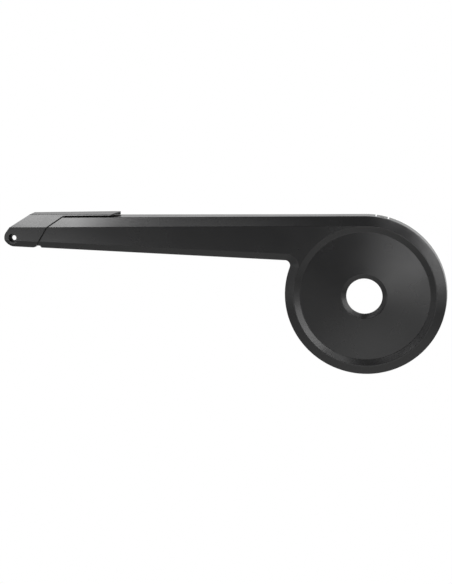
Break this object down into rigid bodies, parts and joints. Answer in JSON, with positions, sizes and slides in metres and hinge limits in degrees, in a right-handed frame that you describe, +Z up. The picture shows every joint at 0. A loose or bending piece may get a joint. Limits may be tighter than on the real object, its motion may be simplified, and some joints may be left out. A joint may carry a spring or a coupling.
{
  "type": "bicycle chain guard",
  "caption": "Black moulded chain guard: a dished disc with a crank opening and a long bevelled arm, open at the back, with a sliding end piece that has a screw hole at the rear.",
  "frame": {"origin": "on the crank axis, at the mouth of the crank opening", "axes": "+X forward along the arm, +Y back towards the bicycle's frame along the crank axis, +Z up"},
  "size_m": [0.5354, 0.0255, 0.1923],
  "materials": {
    "black_shell": "satin"
  },
  "bodies": {
    "guard": {"main_guard": "black_shell"},
    "end_piece": {"rear_end_piece": "black_shell"}
  },
  "joints": [
    {"name": "end_piece_slide", "type": "slide", "parent": "guard", "child": "end_piece", "axis": [-1, 0, 0], "range_m": [0, 0.012]}
  ]
}
